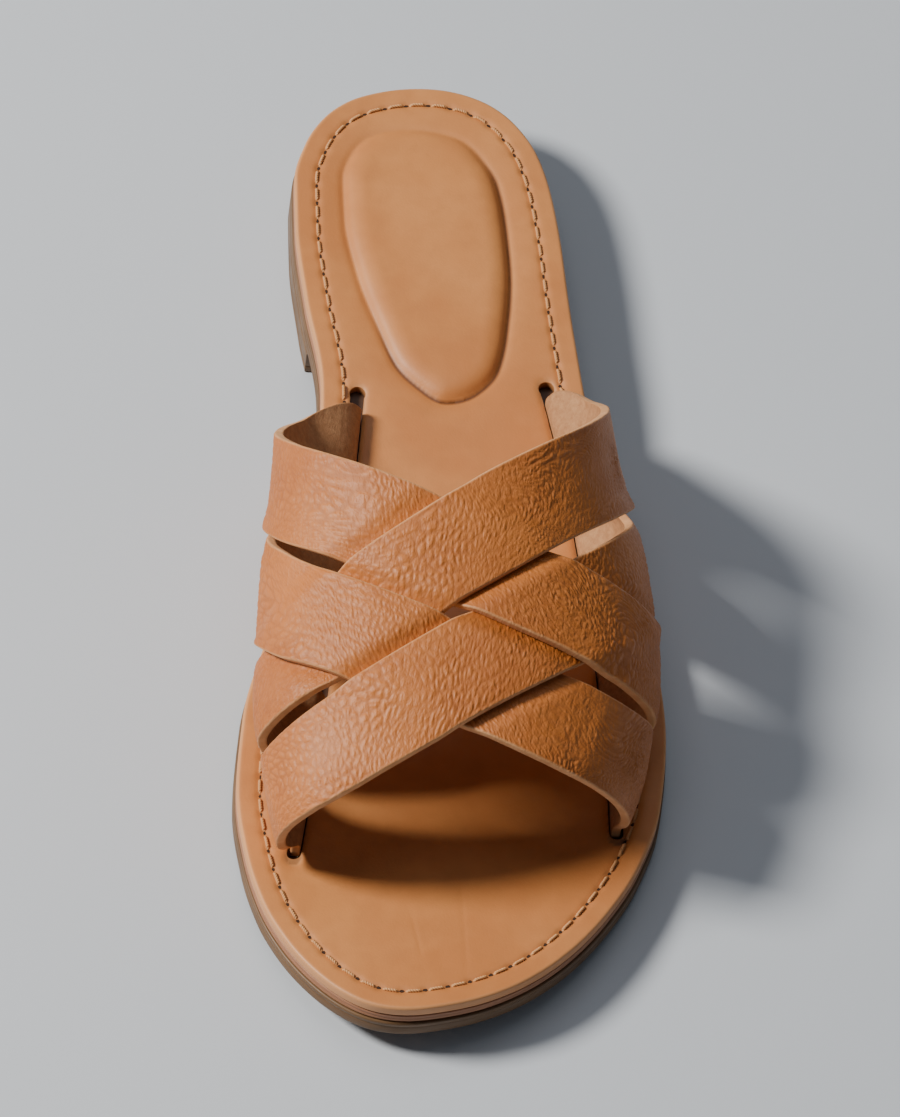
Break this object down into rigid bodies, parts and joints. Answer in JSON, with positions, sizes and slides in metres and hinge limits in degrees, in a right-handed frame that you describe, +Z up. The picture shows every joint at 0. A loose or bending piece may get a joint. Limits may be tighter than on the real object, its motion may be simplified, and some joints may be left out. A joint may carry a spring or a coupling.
{
  "type": "cross strap sandal",
  "caption": "Left slide sandal: leather straps woven in a cross over a leather insole with a padded heel, on a brown sole with a low heel.",
  "frame": {"origin": "on the floor, under the middle of the sole", "axes": "+Z up, +Y from toe to heel, +X to the foot's outer side"},
  "size_m": [0.0944, 0.25, 0.0631],
  "materials": {
    "strap_leather": "pebbled full grain, satin",
    "insole_leather": "smooth, satin",
    "midsole_leather": "smooth cut edge",
    "outsole_brown": "matt",
    "thread": "waxed cream thread"
  },
  "bodies": {
    "root": {"outsole": "outsole_brown", "heel": "outsole_brown", "midsole": "midsole_leather", "insole": "insole_leather", "upper": "strap_leather"}
  },
  "joints": []
}
